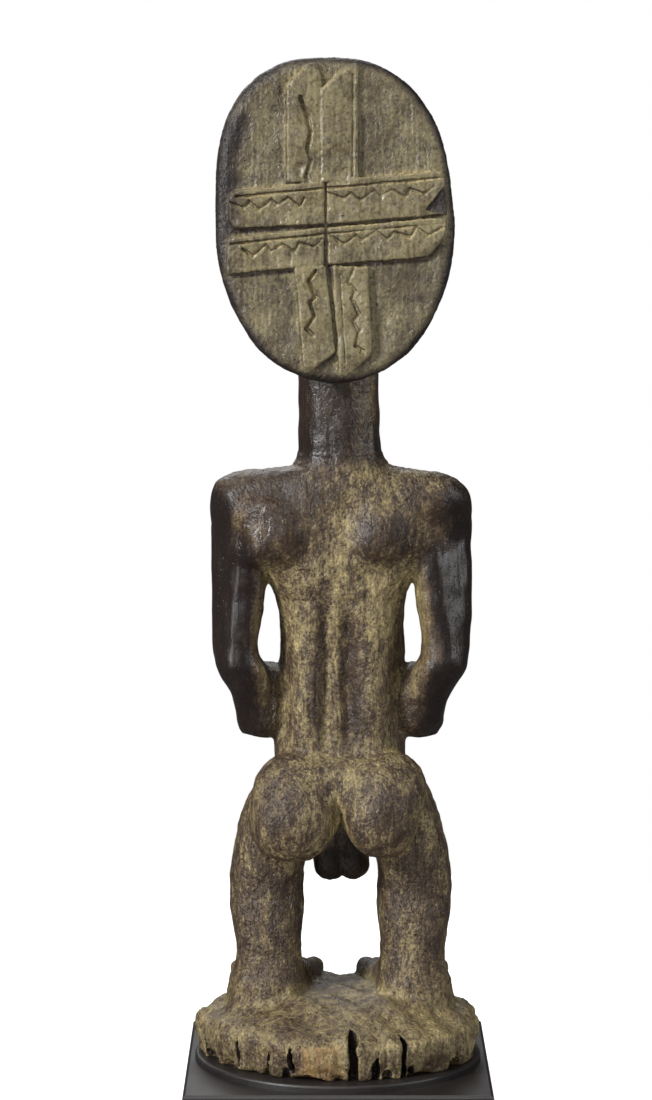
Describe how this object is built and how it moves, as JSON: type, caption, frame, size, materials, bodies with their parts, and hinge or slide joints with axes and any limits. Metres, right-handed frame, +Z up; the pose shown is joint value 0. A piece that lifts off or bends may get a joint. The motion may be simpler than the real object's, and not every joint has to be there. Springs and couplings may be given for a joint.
{
  "type": "carved ancestor figure on display stand",
  "caption": "Standing carved wooden figure with a disc-shaped plaited coiffure, hands on belly, on a worn round base pinned to a square blackened plinth.",
  "frame": {"origin": "middle of the stand's underside, on the surface that the felt pads rest on", "axes": "+Z up; the figure faces -Y, so its coiffure's back faces +Y; its own left side is +X"},
  "size_m": [0.2, 0.2, 0.705],
  "materials": {
    "polished_wood": "near-black hand-polished patina with a soft gloss",
    "crusted_wood": "dark brown wood under a granular ochre crust, polished on the high places",
    "worn_wood": "dry, eroded ochre-brown wood with open grain and drying cracks",
    "blackened_wood": "black-stained hardwood with a low satin polish",
    "steel": "plain zinc-plated",
    "felt": "dark green wool felt"
  },
  "bodies": {
    "stand": {"plinth": "blackened_wood", "seat_disc": "blackened_wood", "mounting_rods": "steel", "upper_nuts": "steel", "upper_washers": "steel", "lower_nuts": "steel", "lower_washers": "steel", "seat_screws": "steel", "felt_pads": "felt"},
    "figure": {"carved_base": "worn_wood", "foot_left": "worn_wood", "foot_right": "worn_wood", "leg_left": "crusted_wood", "leg_right": "crusted_wood", "pelvis": "crusted_wood", "groin": "polished_wood", "torso": "crusted_wood", "arm_left": "polished_wood", "arm_right": "polished_wood", "neck": "polished_wood", "head": "polished_wood", "coiffure_disc": "crusted_wood", "coiffure_plaits": "crusted_wood"}
  },
  "joints": [
    {"name": "lift_off", "type": "slide", "parent": "stand", "child": "figure", "axis": [0, 0, 1], "range_m": [0, 0.04]}
  ]
}
